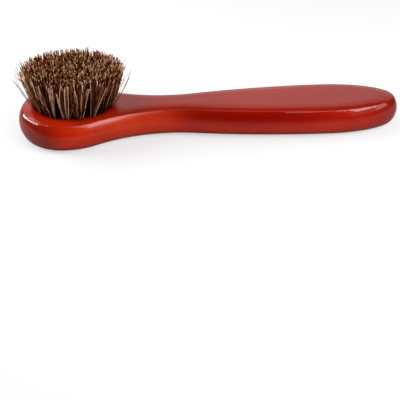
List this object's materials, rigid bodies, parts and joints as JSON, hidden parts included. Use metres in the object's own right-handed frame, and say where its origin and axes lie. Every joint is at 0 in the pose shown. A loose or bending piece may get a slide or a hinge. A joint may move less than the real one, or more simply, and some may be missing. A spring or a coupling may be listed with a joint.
{
  "type": "shoe shine brush",
  "caption": "Shoe shine brush: a flat, waisted wooden handle with a broad head, filled with leaning tufts of horsehair trimmed level, for putting on polish and buffing.",
  "frame": {"origin": "on the flat back of the board, under the middle of the hair", "axes": "+X along the handle from the head to the tip, +Z from the back out through the hair, +Y completes a right-handed frame; XZ is the brush's mirror plane"},
  "size_m": [0.1743, 0.05, 0.0306],
  "materials": {
    "lacquered_wood": "red-stained hardwood under clear gloss lacquer",
    "horsehair": "natural brown horsehair, dark and light hairs mixed",
    "anchor_wire": "drawn flat wire"
  },
  "bodies": {
    "root": {"anchors_centre": "anchor_wire", "anchors_ring1": "anchor_wire", "anchors_ring2": "anchor_wire", "anchors_ring3": "anchor_wire", "handle": "lacquered_wood", "tuft_centre": "horsehair", "tuft_ring1_01": "horsehair", "tuft_ring1_02": "horsehair", "tuft_ring1_03": "horsehair", "tuft_ring1_04": "horsehair", "tuft_ring1_05": "horsehair", "tuft_ring1_06": "horsehair", "tuft_ring2_01": "horsehair", "tuft_ring2_02": "horsehair", "tuft_ring2_03": "horsehair", "tuft_ring2_04": "horsehair", "tuft_ring2_05": "horsehair", "tuft_ring2_06": "horsehair", "tuft_ring2_07": "horsehair", "tuft_ring2_08": "horsehair", "tuft_ring2_09": "horsehair", "tuft_ring2_10": "horsehair", "tuft_ring2_11": "horsehair", "tuft_ring2_12": "horsehair", "tuft_ring3_01": "horsehair", "tuft_ring3_02": "horsehair", "tuft_ring3_03": "horsehair", "tuft_ring3_04": "horsehair", "tuft_ring3_05": "horsehair", "tuft_ring3_06": "horsehair", "tuft_ring3_07": "horsehair", "tuft_ring3_08": "horsehair", "tuft_ring3_09": "horsehair", "tuft_ring3_10": "horsehair", "tuft_ring3_11": "horsehair", "tuft_ring3_12": "horsehair", "tuft_ring3_13": "horsehair", "tuft_ring3_14": "horsehair", "tuft_ring3_15": "horsehair", "tuft_ring3_16": "horsehair", "tuft_ring3_17": "horsehair", "tuft_ring3_18": "horsehair"}
  },
  "joints": []
}
